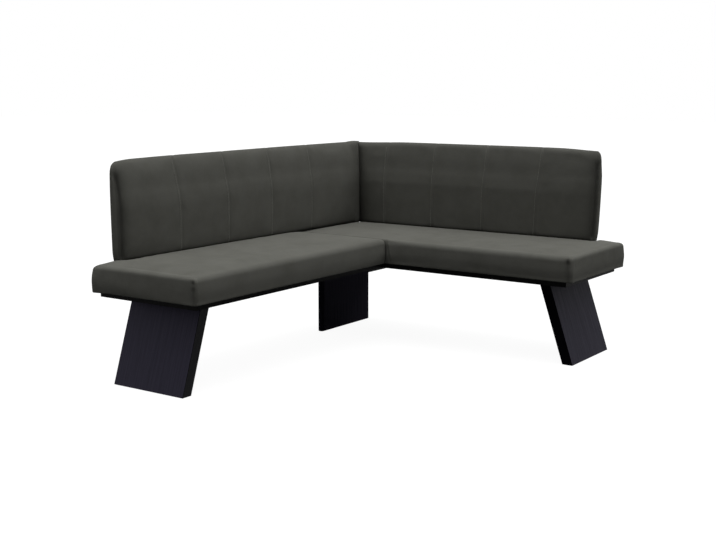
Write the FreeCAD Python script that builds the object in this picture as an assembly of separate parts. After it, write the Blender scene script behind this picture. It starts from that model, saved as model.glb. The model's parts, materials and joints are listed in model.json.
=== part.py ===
import FreeCAD, Part
import math
import os

# Corner bench, upholstered, in millimetres, +Z up, standing on the floor at Z = 0.
# The long wing runs along X with its backrest on the +Y side, and the short wing runs
# along Y with its backrest on the +X side, so the corner seat is at +X +Y.
# The origin is on the floor, below the middle of the whole bench.

# Overall size
overall_length = 1770.0
overall_width = 1450.0
overall_height = 870.0

# Seat cushions
seat_depth = 548.0
seat_edge_height = 477.0
cushion_thickness = 109.0
seat_crown = 11.0
seat_crown_run = 110.0
seat_edge_radius = 27.0
seat_rear_radius = 16.0
seat_corner_radius = 15.0
seat_inner_radius = 12.0
seat_side_draw = 7.0
seat_side_lean = 1.6
wing_gap = 1.0
crown_shoulder_share = 0.78
crown_least_share = 0.10
crown_inner_share = 0.45
crown_flat_share = 0.97
crown_flat_runs = 2.5
side_bulge_height_share = 0.48
edge_rise_share = 0.62
half_way_share = 0.5
round_degrees = (0.0, 25.0, 55.0, 90.0)

# Backrests
back_thickness = 60.0
back_overhang = 10.0
back_end_inset = 118.0
back_lean = 44.0
back_groove = 6.0
back_front_radius = 16.0
back_rear_radius = 9.0
back_end_bulge = 3.0
back_bottom_draw = 11.0
back_top_rounding = 40.0
back_rear_rounding = 10.0
press_depth = 7.0

# Places of the sewn seams along each backrest, from its free end
long_seam_shares = (0.2087, 0.3947, 0.5808, 0.7668)
short_seam_shares = (0.2207, 0.4264, 0.6321, 0.8378)

# Heights up a backrest, and how far each of its faces is drawn in at that height
level_shares = (0.0, 0.025, 0.10, 0.30, 0.55, 0.72, 0.87, 0.95, 0.985, 1.0)
front_shares = (0.12, 0.03, 0.0, 0.0, 0.03, 0.20, 0.46, 0.70, 0.87, 1.0)
rear_shares = (0.25, 0.05, 0.0, 0.0, 0.0, 0.0, 0.0, 0.10, 0.40, 1.0)
bottom_draw_shares = (1.0, 0.70, 0.40, 0.20, 0.08, 0.0, 0.0, 0.0, 0.0, 0.0)
top_round_shares = (0.0, 0.0, 0.0, 0.0, 0.0, 0.0, 0.05, 0.25, 0.60, 1.0)

# Upholstery layers
cover_thickness = 1.5
soft_gap = 0.3
hem_width = 35.0
dust_cover_thickness = 0.8
dust_cover_margin = 20.0
side_padding = 12.0

# Seat frame of solid wood inside each cushion
seat_rail_thickness = 20.0
seat_rail_height = 57.0
cross_rail_height = 40.0
cross_rail_thickness = 28.0
long_cross_rail_shares = (0.1239, 0.3881, 0.6523, 0.9166)
short_cross_rail_shares = (0.1042, 0.3681, 0.6321)
webbing_width = 60.0
webbing_thickness = 2.0
long_webbing_count = 9
short_webbing_count = 11

# Base frame of flat rails below each cushion
base_rail_thickness = 26.2
base_rail_width = 60.0
base_front_inset = 48.0
base_end_inset = 41.0

# Slanted plank legs
leg_slant = 18.7
leg_thickness = 45.0
leg_front_inset = 118.0
leg_rear_inset = 66.0
leg_foot_inset = 33.0
leg_bearer_margin = 31.0
leg_plate_thickness = 4.0
leg_plate_margin = 28.0
leg_plate_end_margin = 14.0
felt_thickness = 2.0
felt_margin = 5.0
leg_edge_radius = 1.5

# Upright corner leg with round edges
corner_leg_front_inset = 62.0
corner_leg_side_inset = 92.0
corner_leg_thickness = 32.0
corner_leg_rear_inset = 123.0
corner_bearer_width = 92.0
angle_leg = 30.0
angle_thickness = 2.5
angle_length = 50.0
angle_place_shares = (0.25, 0.70)

# Steel plates that join the two wings
wing_plate_length = 200.0
wing_plate_width = 60.0
wing_plate_thickness = 8.0
wing_plate_margin = 2.0
wing_plate_rear_share = 0.50
wing_plate_screw_offset = 34.0

# Backrest panels and the steel bars that carry them
panel_thickness = 15.0
panel_margin = 16.0
panel_bottom_gap = 8.0
panel_top_gap = 34.0
bar_width = 40.0
bar_thickness = 5.0
bar_bottom_gap = 3.0
bar_rise_share = 0.75
long_bar_shares = (0.1755, 0.5032, 0.8660)
short_bar_shares = (0.2069, 0.5379, 0.8483)
bar_corner_radius = 4.0
panel_bolt_shares = (0.30, 0.60, 0.92)
rail_screw_spacing = 20.0

# Fasteners
hole_gap = 0.15
wood_screw_radius = 2.5
wood_screw_head_radius = 4.6
wood_screw_head_depth = 2.6
base_screw_length = 50.0
plate_screw_length = 24.0
leg_screw_radius = 3.0
leg_screw_length = 45.0
bar_screw_radius = 3.0
bar_screw_head_radius = 6.0
bar_screw_head_height = 2.4
rail_screw_length = 48.0
frame_screw_length = 34.0
panel_bolt_length = 18.0
sleeve_radius = 7.0
tee_nut_radius = 4.5
tee_nut_flange_radius = 10.0
tee_nut_flange_thickness = 1.5
screw_edge_distance = 16.0
plate_screw_shares = (0.12, 0.50, 0.88)
leg_screw_shares = (0.15, 0.38, 0.62, 0.85)
screw_pair_shares = (0.25, 0.75)
cut_overrun = 5.0

# Sizes and places that follow from the ones above
arc_middle_share = math.sqrt(half_way_share)
seat_rear = seat_depth
cushion_bottom = seat_edge_height - cushion_thickness
back_rear = seat_depth + back_overhang
back_front = back_rear - back_thickness
seat_form_depth = seat_depth - soft_gap
pressed_height = seat_edge_height - press_depth
back_bottom = pressed_height + soft_gap
back_height = overall_height - back_bottom
corner_x = overall_length / 2 - back_rear
corner_y = overall_width / 2 - back_rear
long_seat_length = overall_length - back_rear - wing_gap
short_seat_length = overall_width - back_overhang - soft_gap
long_back_length = overall_length - back_thickness - wing_gap
short_back_length = overall_width
base_top = cushion_bottom - dust_cover_thickness
base_bottom = base_top - base_rail_thickness
base_rear = seat_rear
base_inner_rear = base_rear - base_rail_width
base_inner_front = base_front_inset + base_rail_width
long_base_length = overall_length - back_rear + base_front_inset
short_base_length = overall_width - back_overhang
frame_bottom = cushion_bottom + cover_thickness
frame_top = frame_bottom + seat_rail_height
webbing_top = frame_top + webbing_thickness
frame_rear = seat_rear - side_padding
panel_front = seat_rear - panel_thickness
panel_bottom = back_bottom + panel_bottom_gap
panel_top = overall_height - panel_top_gap
bar_bottom = base_bottom + bar_bottom_gap
bar_top = back_bottom + back_height * bar_rise_share
bar_rear = seat_rear + bar_thickness
rail_screw_height = (base_bottom + base_top) / 2
frame_screw_height = frame_bottom + seat_rail_height / 2
leg_top = base_bottom - leg_plate_thickness
slant = math.radians(leg_slant)
leg_run = math.tan(slant)
leg_section = leg_thickness / math.cos(slant)
leg_rear_side = seat_depth - leg_rear_inset
leg_width = leg_rear_side - leg_front_inset
wing_plate_bottom = base_bottom - wing_plate_thickness
wing_plate_places = (base_front_inset + wing_plate_margin, seat_depth * wing_plate_rear_share)
leg_top_outer = leg_foot_inset + (leg_top - felt_thickness) * leg_run
leg_top_inner = leg_top_outer + leg_section
leg_top_middle = (leg_top_outer + leg_top_inner) / 2
corner_leg_width = seat_depth - corner_leg_side_inset - corner_leg_front_inset
corner_leg_middle = short_base_length - corner_leg_rear_inset - corner_leg_thickness / 2

made = {}
holes = {}


class Wing:
    """One straight wing: u runs from its free end to the corner, v from its front to its back."""

    def __init__(self, name, along_y, seat_length, base_length, back_length):
        self.name = name
        self.along_y = along_y
        self.seat_length = seat_length
        self.base_length = base_length
        self.back_length = back_length

    def point(self, u, v, z):
        if self.along_y:
            return FreeCAD.Vector(corner_x + v, u - overall_width / 2, z)
        return FreeCAD.Vector(u - overall_length / 2, corner_y + v, z)

    def across(self):
        return FreeCAD.Vector(1, 0, 0) if self.along_y else FreeCAD.Vector(0, 1, 0)

    def box(self, u_low, u_high, v_low, v_high, z_low, z_high):
        low = self.point(u_low, v_low, z_low)
        size = self.point(u_high, v_high, z_high) - low
        return Part.makeBox(size.x, size.y, size.z, low)

    def node(self, piece):
        return self.name + "_" + piece


long_wing = Wing("long", False, long_seat_length, long_base_length, long_back_length)
short_wing = Wing("short", True, short_seat_length, short_base_length, short_back_length)
UP = FreeCAD.Vector(0, 0, 1)
DOWN = FreeCAD.Vector(0, 0, -1)
TO_FRONT = FreeCAD.Vector(0, -1, 0)


def line(start, end):
    return Part.LineSegment(start, end).toShape()


def arc(start, middle, end):
    return Part.Arc(start, middle, end).toShape()


def between(low, high, share):
    return low + (high - low) * share


def solid_of(shape):
    solid = shape.Solids[0] if shape.ShapeType != "Solid" and len(shape.Solids) == 1 else shape
    if solid.Volume < 0:
        solid.reverse()
    return solid


def loft(wires):
    return solid_of(Part.makeLoft(wires, True, False))


# Seat cushions

def seat_section(wing, u, side_inset, top_drop, crown_share, offset):
    """A closed cross-section of the seat cushion at u, drawn in by the given insets."""
    front = side_inset + offset
    rear = seat_form_depth - side_inset - offset
    bottom = cushion_bottom + offset
    edge = seat_edge_height - top_drop - offset
    crown = seat_crown * crown_share
    shoulder = edge + crown * crown_shoulder_share
    round_corner = 1 - arc_middle_share

    def at(v, z):
        return wing.point(u, v, z)

    front_foot = at(front + seat_side_draw, bottom)
    front_bulge = at(front, between(bottom, edge, side_bulge_height_share))
    front_turn = at(front + seat_side_lean, edge - seat_edge_radius)
    front_round = at(front + seat_edge_radius * round_corner, edge - seat_edge_radius * round_corner)
    front_edge = at(front + seat_edge_radius, edge)
    front_shoulder = at(front + seat_crown_run, shoulder)
    rear_shoulder = at(rear - seat_crown_run, shoulder)
    rear_edge = at(rear - seat_rear_radius, edge)
    rear_round = at(rear - seat_rear_radius * round_corner, edge - seat_rear_radius * round_corner)
    rear_turn = at(rear, edge - seat_rear_radius)
    rear_foot = at(rear, bottom)
    rise = between(edge, shoulder, edge_rise_share)
    front_rise = at(front + (seat_edge_radius + seat_crown_run) / 2, rise)
    rear_rise = at(rear - (seat_rear_radius + seat_crown_run) / 2, rise)
    top = at((front + rear) / 2, edge + crown)
    edges = [
        arc(front_foot, front_bulge, front_turn),
        arc(front_turn, front_round, front_edge),
        arc(front_edge, front_rise, front_shoulder),
        arc(front_shoulder, top, rear_shoulder),
        arc(rear_shoulder, rear_rise, rear_edge),
        arc(rear_edge, rear_round, rear_turn),
        line(rear_turn, rear_foot),
        line(rear_foot, front_foot),
    ]
    return Part.Wire(edges)


def end_stations(radius, side_radius, crown_share):
    """Distances from a rounded end face, with side inset, top drop and crown share of each."""
    stations = []
    for degrees in round_degrees:
        angle = math.radians(degrees)
        drawn_share = 1 - math.sin(angle)
        distance = radius * (1 - math.cos(angle))
        stations.append((distance, side_radius * drawn_share, radius * drawn_share, crown_share))
    return stations


def seat_lengths(length, offset):
    """Three runs of stations along a seat cushion: free end, crowned middle and inner end."""
    free_end = end_stations(seat_edge_radius, seat_corner_radius, crown_least_share)
    inner_end = end_stations(seat_inner_radius, seat_inner_radius * half_way_share, crown_inner_share)
    free = [(distance + offset, side, drop, share) for distance, side, drop, share in free_end]
    inner = [(length - distance - offset, side, drop, share)
             for distance, side, drop, share in reversed(inner_end)]
    flat = seat_crown_run * crown_flat_runs
    middle = [
        free[-1],
        (seat_crown_run, 0.0, 0.0, crown_shoulder_share),
        (flat, 0.0, 0.0, crown_flat_share),
        (length * half_way_share, 0.0, 0.0, 1.0),
        (length - flat, 0.0, 0.0, crown_flat_share),
        (length - seat_crown_run, 0.0, 0.0, between(crown_inner_share, 1.0, crown_shoulder_share)),
        inner[0],
    ]
    return free, middle, inner


def seat_form(wing, offset):
    """The crowned cushion with the strip that the backrests press down, drawn in by offset."""
    length = wing.seat_length
    runs = []
    for stations in seat_lengths(length, offset):
        runs.append(loft([seat_section(wing, *station, offset) for station in stations]))
    form = runs[0].fuse(runs[1:]).removeSplitter()
    floor = pressed_height - offset
    high = overall_height
    front = back_front - soft_gap - offset
    far = length + cut_overrun
    start = back_end_inset + soft_gap - offset
    pressed = [wing.box(start, far, front, back_rear + cut_overrun, floor, high)]
    if wing.along_y:
        strip_start = overall_width - back_thickness - soft_gap - offset
        pressed.append(wing.box(strip_start, far, -cut_overrun, back_rear, floor, high))
    return solid_of(form.cut(pressed))


def make_seat_cover(wing):
    cover = seat_form(wing, 0.0).cut(seat_form(wing, cover_thickness))
    length = wing.seat_length
    opening = wing.box(hem_width, length - hem_width, hem_width, seat_rear - hem_width,
                       cushion_bottom - cut_overrun, frame_top)
    made[wing.node("seat_cover")] = solid_of(cover.cut(opening))


def make_seat_foam(wing):
    foam = seat_form(wing, cover_thickness + soft_gap)
    low = side_padding - soft_gap
    cavity = wing.box(low, wing.seat_length - low, low, seat_rear - low,
                      cushion_bottom - cut_overrun, webbing_top + soft_gap)
    made[wing.node("seat_foam")] = solid_of(foam.cut(cavity))


def cross_rail_places(wing):
    """Middles of a seat's cross rails; the short wing's last one stands above the corner leg."""
    if wing.along_y:
        return [wing.seat_length * share for share in short_cross_rail_shares] + [corner_leg_middle]
    return [wing.seat_length * share for share in long_cross_rail_shares]


def make_seat_frame(wing):
    """Front, rear and end rails with lower cross rails, which carry the webbing."""
    low = side_padding
    high = wing.seat_length - side_padding
    inner_front = low + seat_rail_thickness
    inner_rear = frame_rear - seat_rail_thickness
    made[wing.node("seat_front_rail")] = wing.box(low, high, low, inner_front, frame_bottom, frame_top)
    made[wing.node("seat_rear_rail")] = wing.box(low, high, inner_rear, frame_rear, frame_bottom, frame_top)
    ends = {"seat_free_end_rail": low, "seat_inner_end_rail": high - seat_rail_thickness}
    for piece, start in ends.items():
        rail = wing.box(start, start + seat_rail_thickness, inner_front, inner_rear, frame_bottom, frame_top)
        made[wing.node(piece)] = rail
    cross_top = frame_bottom + cross_rail_height
    rails = []
    half = cross_rail_thickness / 2
    for place in cross_rail_places(wing):
        rails.append(wing.box(place - half, place + half, inner_front, inner_rear, frame_bottom, cross_top))
    made[wing.node("seat_cross_rails")] = Part.makeCompound(rails)


def make_webbing(wing, count):
    first = side_padding + seat_rail_thickness
    last = wing.seat_length - side_padding - seat_rail_thickness
    step = (last - first) / count
    straps = []
    for index in range(count):
        low = first + step * (index + half_way_share) - webbing_width / 2
        straps.append(wing.box(low, low + webbing_width, side_padding, frame_rear, frame_top, webbing_top))
    made[wing.node("seat_webbing")] = Part.makeCompound(straps)


def make_dust_cover(wing):
    margin = dust_cover_margin
    made[wing.node("seat_dust_cover")] = wing.box(
        margin, wing.seat_length - margin, margin, seat_rear - margin, base_top, cushion_bottom)


# Base frame

def make_base_frame(wing):
    """Flat rails in a closed frame, with a bearer across it above the slanted leg."""
    start = base_end_inset
    end = wing.base_length
    made[wing.node("base_front_rail")] = wing.box(
        start, end, base_front_inset, base_inner_front, base_bottom, base_top)
    made[wing.node("base_rear_rail")] = wing.box(
        start, end, base_inner_rear, base_rear, base_bottom, base_top)
    bearer = start + base_rail_width
    crossing = {
        "base_free_end_rail": (start, bearer),
        "base_leg_bearer": (bearer, leg_top_inner + leg_bearer_margin),
        "base_inner_end_rail": (end - base_rail_width, end),
    }
    for piece, (low, high) in crossing.items():
        made[wing.node(piece)] = wing.box(low, high, base_inner_front, base_inner_rear, base_bottom, base_top)


# Slanted legs

def make_slanted_leg(wing):
    """A wide plank that slants outwards to the floor, with its plate and felt strip."""
    foot_outer = leg_foot_inset
    corners = [
        (foot_outer, felt_thickness),
        (foot_outer + leg_section, felt_thickness),
        (leg_top_inner, leg_top),
        (leg_top_outer, leg_top),
    ]
    points = [wing.point(u, leg_front_inset, z) for u, z in corners]
    face = Part.Face(Part.makePolygon(points + [points[0]]))
    plank = solid_of(face.extrude(wing.across() * leg_width))
    long_edges = [edge for edge in plank.Edges if is_slanted(edge)]
    made[wing.node("leg")] = solid_of(plank.makeFillet(leg_edge_radius, long_edges))
    made[wing.node("leg_plate")] = wing.box(
        leg_top_outer - leg_plate_margin, leg_top_inner + leg_plate_margin,
        leg_front_inset + leg_plate_end_margin, leg_rear_side - leg_plate_end_margin, leg_top, base_bottom)
    made[wing.node("leg_felt")] = wing.box(
        foot_outer + felt_margin, foot_outer + leg_section - felt_margin,
        leg_front_inset + felt_margin, leg_rear_side - felt_margin, 0, felt_thickness)


def is_slanted(edge):
    rise = abs(edge.Vertexes[0].Z - edge.Vertexes[-1].Z)
    return rise > leg_top * half_way_share


# Corner leg

def corner_leg_plan(inset, z):
    """The outline of the corner leg, a long slot shape, drawn in by inset at height z."""
    radius = corner_leg_thickness / 2 - inset
    middle = corner_leg_middle
    front = corner_leg_front_inset + corner_leg_thickness / 2
    rear = corner_leg_front_inset + corner_leg_width - corner_leg_thickness / 2

    def at(v, u):
        return short_wing.point(u, v, z)

    edges = [
        line(at(front, middle - radius), at(rear, middle - radius)),
        arc(at(rear, middle - radius), at(rear + radius, middle), at(rear, middle + radius)),
        line(at(rear, middle + radius), at(front, middle + radius)),
        arc(at(front, middle + radius), at(front - radius, middle), at(front, middle - radius)),
    ]
    return Part.Face(Part.Wire(edges))


def make_corner_leg():
    """An upright board with round edges under the corner seat, held by two steel angles."""
    body = corner_leg_plan(0.0, felt_thickness)
    made["corner_leg"] = solid_of(body.extrude(UP * (base_bottom - felt_thickness)))
    felt = corner_leg_plan(felt_margin, 0.0)
    made["corner_leg_felt"] = solid_of(felt.extrude(UP * felt_thickness))
    low = corner_leg_middle - corner_bearer_width / 2
    made["corner_leg_bearer"] = short_wing.box(
        low, low + corner_bearer_width, base_inner_front, base_inner_rear, base_bottom, base_top)
    face = corner_leg_middle + corner_leg_thickness / 2
    angles = []
    for share in angle_place_shares:
        start = corner_leg_front_inset + corner_leg_width * share
        upright = short_wing.box(face, face + angle_thickness, start, start + angle_length,
                                 base_bottom - angle_leg, base_bottom)
        flat = short_wing.box(face, face + angle_leg, start, start + angle_length,
                              base_bottom - angle_thickness, base_bottom)
        angles.append(solid_of(upright.fuse(flat).removeSplitter()))
    made["corner_leg_angles"] = Part.makeCompound(angles)


def make_wing_plates():
    """Two flat plates below the base frames, across the line where the wings meet."""
    plates = []
    start = long_base_length - wing_plate_length / 2
    for place in wing_plate_places:
        plates.append(long_wing.box(start, start + wing_plate_length, place, place + wing_plate_width,
                                    wing_plate_bottom, base_bottom))
    made["wing_plates"] = Part.makeCompound(plates)


# Backrests

def back_seams(wing):
    """Places of the sewn seams along a backrest."""
    shares = short_seam_shares if wing.along_y else long_seam_shares
    return [between(back_end_inset, wing.back_length, share) for share in shares]


def back_section(wing, level, offset):
    """A closed horizontal outline of the backrest, with one arc for each sewn channel.

    The long backrest's inner end follows the short one's front as it leans back.
    """
    height = between(back_bottom + offset, overall_height - offset, level_shares[level])
    drawn = bottom_draw_shares[level] * back_bottom_draw
    rounded = top_round_shares[level] * back_top_rounding
    leaned = front_shares[level] * back_lean
    start = back_end_inset + drawn + rounded + offset
    if wing.along_y:
        end = wing.back_length - (drawn + rounded) * half_way_share - offset
    else:
        end = wing.back_length - drawn * half_way_share + leaned - offset
    front = back_front + leaned + offset
    rear = back_rear - rear_shares[level] * back_rear_rounding - offset
    local_share = (rear - front) / back_thickness
    groove = back_groove * local_share
    front_turn = back_front_radius * local_share
    rear_turn = back_rear_radius * local_share
    bulge = back_end_bulge * local_share
    round_corner = 1 - arc_middle_share
    valley = front + groove

    def at(u, v):
        return wing.point(u, v, height)

    edges = [
        arc(at(start + bulge, valley + front_turn), at(start + bulge + front_turn * round_corner,
            valley + front_turn * round_corner), at(start + bulge + front_turn, valley)),
    ]
    previous = start + bulge + front_turn
    stops = back_seams(wing) + [end - front_turn]
    for stop in stops:
        edges.append(arc(at(previous, valley), at((previous + stop) / 2, front), at(stop, valley)))
        previous = stop
    edges.append(arc(at(end - front_turn, valley), at(end - front_turn * round_corner,
                 valley + front_turn * round_corner), at(end, valley + front_turn)))
    edges.append(line(at(end, valley + front_turn), at(end, rear - rear_turn)))
    edges.append(arc(at(end, rear - rear_turn), at(end - rear_turn * round_corner,
                 rear - rear_turn * round_corner), at(end - rear_turn, rear)))
    edges.append(line(at(end - rear_turn, rear), at(start + bulge + rear_turn, rear)))
    edges.append(arc(at(start + bulge + rear_turn, rear), at(start + bulge + rear_turn * round_corner,
                 rear - rear_turn * round_corner), at(start + bulge, rear - rear_turn)))
    edges.append(arc(at(start + bulge, rear - rear_turn), at(start, (front + rear) / 2),
                 at(start + bulge, valley + front_turn)))
    return Part.Wire(edges)


def back_form(wing, offset):
    return loft([back_section(wing, level, offset) for level in range(len(level_shares))])


def bar_slot(wing, place, gap):
    """The space of one steel bar, with a gap around it."""
    half = bar_width / 2 + gap
    return wing.box(place - half, place + half, seat_rear - gap, bar_rear + gap, bar_bottom, bar_top + gap)


def bar_places(wing):
    shares = short_bar_shares if wing.along_y else long_bar_shares
    return [wing.back_length * share for share in shares]


def make_back_upholstery(wing):
    """The sewn cover and the foam behind it, both open where the steel bars go in."""
    cover = back_form(wing, 0.0).cut(back_form(wing, cover_thickness))
    foam = back_form(wing, cover_thickness + soft_gap)
    start = back_end_inset + panel_margin
    end = wing.back_length - panel_margin
    pocket = wing.box(start - soft_gap, end + soft_gap, panel_front - soft_gap, seat_rear + soft_gap,
                      panel_bottom - soft_gap, panel_top + soft_gap)
    slots = [bar_slot(wing, place, soft_gap) for place in bar_places(wing)]
    made[wing.node("back_cover")] = solid_of(cover.cut(slots))
    made[wing.node("back_foam")] = solid_of(foam.cut([pocket] + slots))
    made[wing.node("back_panel")] = wing.box(start, end, panel_front, seat_rear, panel_bottom, panel_top)


def runs_across(wing, edge):
    return abs(edge.tangentAt(edge.FirstParameter).dot(wing.across())) > half_way_share


def make_bars(wing):
    half = bar_width / 2
    for index, place in enumerate(bar_places(wing)):
        bar = wing.box(place - half, place + half, seat_rear, bar_rear, bar_bottom, bar_top)
        corners = [edge for edge in bar.Edges if runs_across(wing, edge)]
        made[wing.node("back_bar_" + str(index + 1))] = solid_of(bar.makeFillet(bar_corner_radius, corners))


# Fasteners

def flat_head_screw(place, direction, radius, length, gap):
    """A countersunk screw from its head's face at place, or its hole when there is a gap."""
    head = Part.makeCone(wood_screw_head_radius + gap, radius + gap, wood_screw_head_depth, place, direction)
    shank = Part.makeCylinder(radius + gap, length + gap, place, direction)
    return solid_of(head.fuse(shank).removeSplitter())


def round_head_screw(place, direction, length, gap):
    """A button head screw whose head sits outside the face at place, or its hole."""
    shank = Part.makeCylinder(bar_screw_radius + gap, length + gap, place, direction)
    height = bar_screw_head_height + gap
    head = Part.makeCylinder(bar_screw_head_radius + gap, height, place - direction * height, direction)
    return solid_of(head.fuse(shank).removeSplitter())


def sleeve(place, direction, length, outer, inner):
    body = Part.makeCylinder(outer, length, place, direction)
    return body.cut(Part.makeCylinder(inner, length, place, direction))


def drill(nodes, hole):
    """Notes a hole for each of the nodes that it goes through."""
    for node in nodes:
        holes.setdefault(node, []).append(hole)


def cut_holes():
    for node, cutters in holes.items():
        shape = made[node]
        if len(shape.Solids) == 1:
            made[node] = solid_of(shape.cut(cutters))
        else:
            made[node] = Part.makeCompound([solid_of(one.cut(cutters)) for one in shape.Solids])


def fit_flat_screws(places, direction, radius, length, nodes):
    """Screws of one kind, each with its hole cut through the nodes that it holds."""
    screws = []
    for place in places:
        drill(nodes, flat_head_screw(place, direction, radius, length, hole_gap))
        screws.append(flat_head_screw(place, direction, radius, length, 0.0))
    return screws


def make_base_screws():
    """Screws up through the base rails into the cross rails of the seat frames."""
    screws = []
    for wing in (long_wing, short_wing):
        for piece, v in (("base_front_rail", base_inner_front - base_rail_width / 2),
                         ("base_rear_rail", base_inner_rear + screw_edge_distance)):
            spots = [wing.point(u, v, base_bottom) for u in cross_rail_places(wing)]
            nodes = [wing.node(piece), wing.node("seat_dust_cover"), wing.node("seat_cross_rails")]
            screws += fit_flat_screws(spots, UP, wood_screw_radius, base_screw_length, nodes)
    made["base_screws"] = Part.makeCompound(screws)


def make_plate_screws():
    """Short screws that hold the leg plates, the wing plates and the corner angles."""
    screws = []
    for wing in (long_wing, short_wing):
        spots = []
        for u in (leg_top_outer - leg_plate_margin / 2, leg_top_inner + leg_plate_margin / 2):
            for share in plate_screw_shares:
                spots.append(wing.point(u, between(leg_front_inset, leg_rear_side, share), leg_top))
        nodes = [wing.node("leg_plate"), wing.node("base_leg_bearer")]
        screws += fit_flat_screws(spots, UP, wood_screw_radius, plate_screw_length, nodes)
    long_rails = ("long_base_front_rail", "long_base_inner_end_rail")
    for place, long_rail in zip(wing_plate_places, long_rails):
        for side, node in ((-1, long_rail), (1, "short_base_front_rail")):
            u = long_base_length + side * wing_plate_screw_offset
            spots = []
            for share in screw_pair_shares:
                spots.append(long_wing.point(u, place + wing_plate_width * share, wing_plate_bottom))
            screws += fit_flat_screws(spots, UP, wood_screw_radius, plate_screw_length, ["wing_plates", node])
    face = corner_leg_middle + corner_leg_thickness / 2
    reach = angle_leg - wood_screw_head_radius * 2
    for share in angle_place_shares:
        flat_spots = []
        side_spots = []
        for part in screw_pair_shares:
            v = corner_leg_front_inset + corner_leg_width * share + angle_length * part
            flat_spots.append(short_wing.point(face + reach, v, base_bottom - angle_thickness))
            side_spots.append(short_wing.point(face + angle_thickness, v, base_bottom - reach))
        screws += fit_flat_screws(flat_spots, UP, wood_screw_radius, plate_screw_length,
                                  ["corner_leg_angles", "corner_leg_bearer"])
        screws += fit_flat_screws(side_spots, TO_FRONT, wood_screw_radius, plate_screw_length,
                                  ["corner_leg_angles", "corner_leg"])
    made["plate_screws"] = Part.makeCompound(screws)


def make_leg_screws():
    """Long screws down through the leg plates into the planks."""
    screws = []
    for wing in (long_wing, short_wing):
        spots = []
        for share in leg_screw_shares:
            v = between(leg_front_inset, leg_rear_side, share)
            spots.append(wing.point(leg_top_middle, v, base_bottom))
        nodes = [wing.node("leg_plate"), wing.node("leg")]
        screws += fit_flat_screws(spots, DOWN, leg_screw_radius, leg_screw_length, nodes)
    made["leg_screws"] = Part.makeCompound(screws)


def bar_carriers(wing, place):
    """The nodes that a back bar is screwed to: the third bar of the long wing sits on the corner seat."""
    if not wing.along_y and place > wing.seat_length:
        return short_wing, "base_inner_end_rail", "seat_inner_end_rail"
    return wing, "base_rear_rail", "seat_rear_rail"


def make_bar_fasteners():
    """Screws from each bar into the base and the seat frame, and bolts into the back panel."""
    rail_screws = []
    frame_screws = []
    sleeves = []
    bolts = []
    nuts = []
    for wing in (long_wing, short_wing):
        forward = wing.across() * -1
        for index, place in enumerate(bar_places(wing)):
            bar = wing.node("back_bar_" + str(index + 1))
            carrier, base_piece, frame_piece = bar_carriers(wing, place)
            for side in (-1, 1):
                u = place + side * rail_screw_spacing / 2
                spot = wing.point(u, bar_rear, rail_screw_height)
                hole = round_head_screw(spot, forward, rail_screw_length, hole_gap)
                drill([bar, carrier.node(base_piece)], hole)
                rail_screws.append(round_head_screw(spot, forward, rail_screw_length, 0.0))
            spot = wing.point(place, bar_rear, frame_screw_height)
            hole = round_head_screw(spot, forward, frame_screw_length, hole_gap)
            drill([bar, carrier.node(frame_piece)], hole)
            frame_screws.append(round_head_screw(spot, forward, frame_screw_length, 0.0))
            start = wing.point(place, frame_rear, frame_screw_height)
            length = seat_rear - frame_rear
            well = Part.makeCylinder(sleeve_radius + soft_gap, length, start, wing.across())
            drill([carrier.node("seat_cover"), carrier.node("seat_foam")], well)
            sleeves.append(sleeve(start, wing.across(), length, sleeve_radius, bar_screw_radius + hole_gap))
            for share in panel_bolt_shares:
                height = between(back_bottom, bar_top, share)
                spot = wing.point(place, bar_rear, height)
                hole = round_head_screw(spot, forward, panel_bolt_length, hole_gap)
                drill([bar, wing.node("back_panel"), wing.node("back_foam")], hole)
                bolts.append(round_head_screw(spot, forward, panel_bolt_length, 0.0))
                nuts.append(fit_tee_nut(wing, place, height))
    made["bar_rail_screws"] = Part.makeCompound(rail_screws)
    made["bar_frame_screws"] = Part.makeCompound(frame_screws)
    made["bar_sleeves"] = Part.makeCompound(sleeves)
    made["panel_bolts"] = Part.makeCompound(bolts)
    made["panel_tee_nuts"] = Part.makeCompound(nuts)


def fit_tee_nut(wing, place, height):
    """A tee nut let into the front face of the back panel."""
    front = wing.point(place, panel_front, height)
    across = wing.across()
    flange = Part.makeCylinder(tee_nut_flange_radius, tee_nut_flange_thickness, front, across)
    barrel_length = panel_thickness - tee_nut_flange_thickness
    barrel = Part.makeCylinder(tee_nut_radius, barrel_length, front, across)
    body = flange.fuse(barrel).removeSplitter()
    drill([wing.node("back_panel")], body)
    bore = Part.makeCylinder(bar_screw_radius + hole_gap, panel_thickness, front, across)
    return solid_of(body.cut(bore))


def make_wing(wing, webbing_count):
    make_seat_cover(wing)
    make_seat_foam(wing)
    make_seat_frame(wing)
    make_webbing(wing, webbing_count)
    make_dust_cover(wing)
    make_base_frame(wing)
    make_slanted_leg(wing)
    make_back_upholstery(wing)
    make_bars(wing)


def write_parts():
    os.makedirs("parts", exist_ok=True)
    for node in sorted(made):
        shape = made[node]
        shape.exportStep(os.path.join("parts", node + ".step"))
        box = shape.BoundBox
        print(node, len(shape.Solids), "solids", "valid" if shape.isValid() else "NOT VALID",
              "volume", round(shape.Volume), "box", round(box.XMin), round(box.XMax),
              round(box.YMin), round(box.YMax), round(box.ZMin), round(box.ZMax))


make_wing(long_wing, long_webbing_count)
make_wing(short_wing, short_webbing_count)
make_corner_leg()
make_wing_plates()
make_base_screws()
make_plate_screws()
make_leg_screws()
make_bar_fasteners()
cut_holes()
write_parts()
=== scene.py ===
import json
import math

import bmesh
import bpy
import numpy as np
from mathutils import Matrix, Vector


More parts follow.
